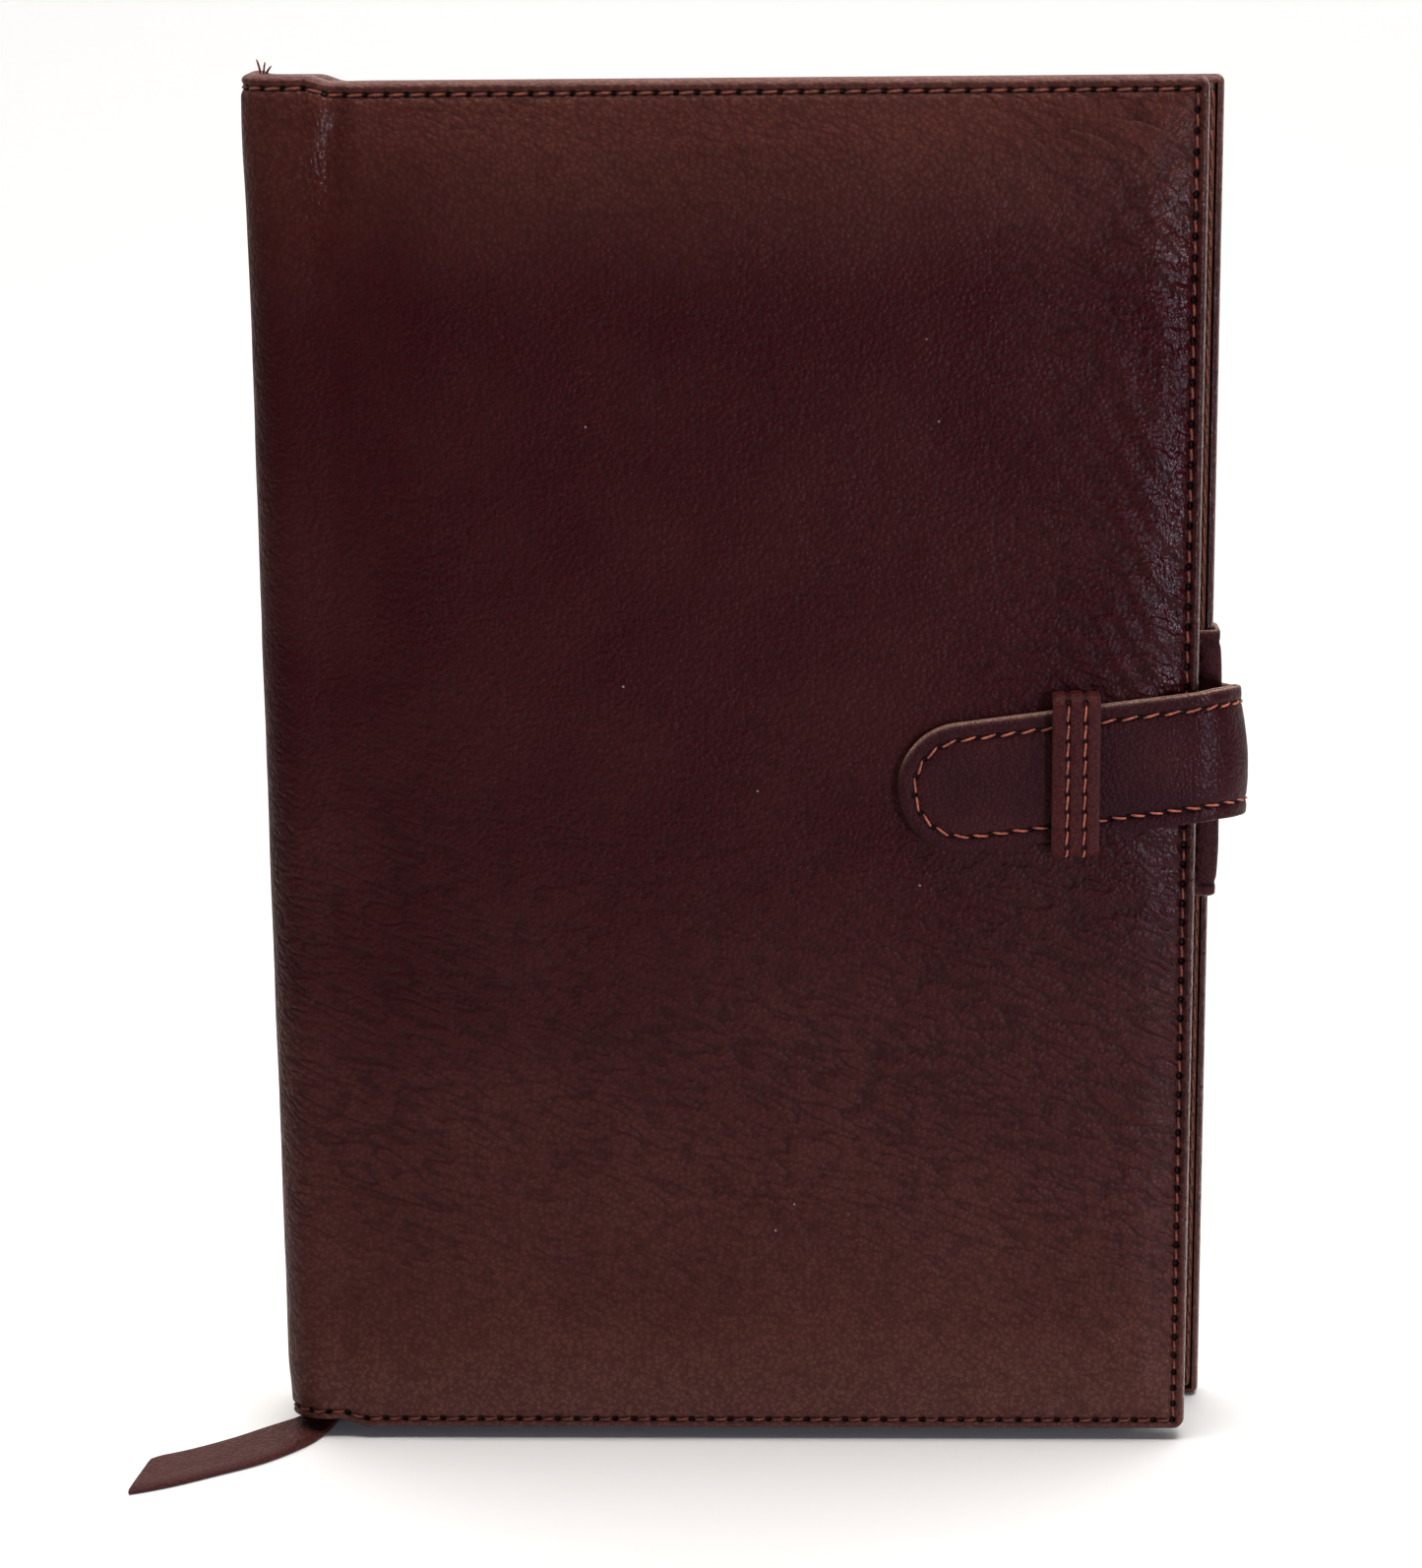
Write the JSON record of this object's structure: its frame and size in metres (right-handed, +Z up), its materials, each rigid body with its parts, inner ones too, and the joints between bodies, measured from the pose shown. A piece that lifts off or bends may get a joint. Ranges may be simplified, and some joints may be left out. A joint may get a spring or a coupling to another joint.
{
  "type": "leather notebook cover",
  "caption": "Dark oxblood-brown padded leather notebook cover with rust stitching, a strap through a keeper loop and a leather bookmark, standing closed with its notebook inside.",
  "frame": {"origin": "middle of the back cover's lower edge, on the surface that the cover stands on", "axes": "+Z up along the spine, +X from the spine to the fore edge, front cover faces -Y"},
  "size_m": [0.1793, 0.0516, 0.223],
  "materials": {
    "hide": "dark oxblood-brown milled leather, soft satin",
    "strap_hide": "dark brown leather, burnished edges",
    "lining_hide": "thin brown lining leather, matt",
    "thread": "waxed rust-orange thread",
    "board": "greyboard",
    "foam": "soft padding",
    "card": "dark notebook card",
    "paper": "uncoated cream paper"
  },
  "bodies": {
    "back_cover": {"back_board": "board", "back_crease_leather": "hide", "back_leather": "hide", "back_lining": "lining_hide", "back_padding": "foam", "back_pocket": "lining_hide", "back_thread": "thread", "notebook_back_card": "card", "page_signature_1": "paper", "page_signature_2": "paper", "page_signature_3": "paper", "page_signature_4": "paper", "strap_anchor": "strap_hide", "strap_root_lining": "lining_hide", "strap_root_outer": "strap_hide"},
    "spine": {"front_crease_leather": "hide", "notebook_spine_card": "card", "spine_leather": "hide", "spine_lining": "lining_hide", "spine_stiffener": "board"},
    "front_cover": {"front_board": "board", "front_leather": "hide", "front_lining": "lining_hide", "front_padding": "foam", "front_pocket": "lining_hide", "front_thread": "thread", "keeper_loop": "strap_hide", "keeper_thread": "thread", "notebook_front_card": "card"},
    "strap_band": {"strap_side_lining": "lining_hide", "strap_side_outer": "strap_hide"},
    "strap_tongue": {"strap_thread": "thread", "strap_tongue_lining": "lining_hide", "strap_tongue_outer": "strap_hide"},
    "bookmark": {"bookmark_ribbon": "strap_hide"}
  },
  "joints": [
    {"name": "spine_crease", "type": "hinge", "parent": "back_cover", "child": "spine", "pos_m": [-0.0701, -0.0014, 0], "axis": [0, 0, -1], "range_deg": [0, 90], "deforming": ["back_crease_leather", "bookmark_ribbon"]},
    {"name": "front_crease", "type": "hinge", "parent": "spine", "child": "front_cover", "pos_m": [-0.0701, -0.0176, 0], "axis": [0, 0, -1], "range_deg": [0, 90], "deforming": ["front_crease_leather"]},
    {"name": "strap_root", "type": "hinge", "parent": "back_cover", "child": "strap_band", "pos_m": [0.0768, 0.0013, 0.1166], "axis": [0, 0, 1], "range_deg": [0, 120], "deforming": ["strap_side_outer", "strap_side_lining"]},
    {"name": "strap_bend", "type": "hinge", "parent": "strap_band", "child": "strap_tongue", "pos_m": [0.0768, -0.0191, 0.1166], "axis": [0, 0, 1], "range_deg": [0, 90], "deforming": ["strap_tongue_outer", "strap_tongue_lining", "strap_thread"]},
    {"name": "bookmark_swing", "type": "hinge", "parent": "spine", "child": "bookmark", "pos_m": [-0.071, -0.0175, 0], "axis": [0, 0, 1], "range_deg": [-20, 20]}
  ]
}
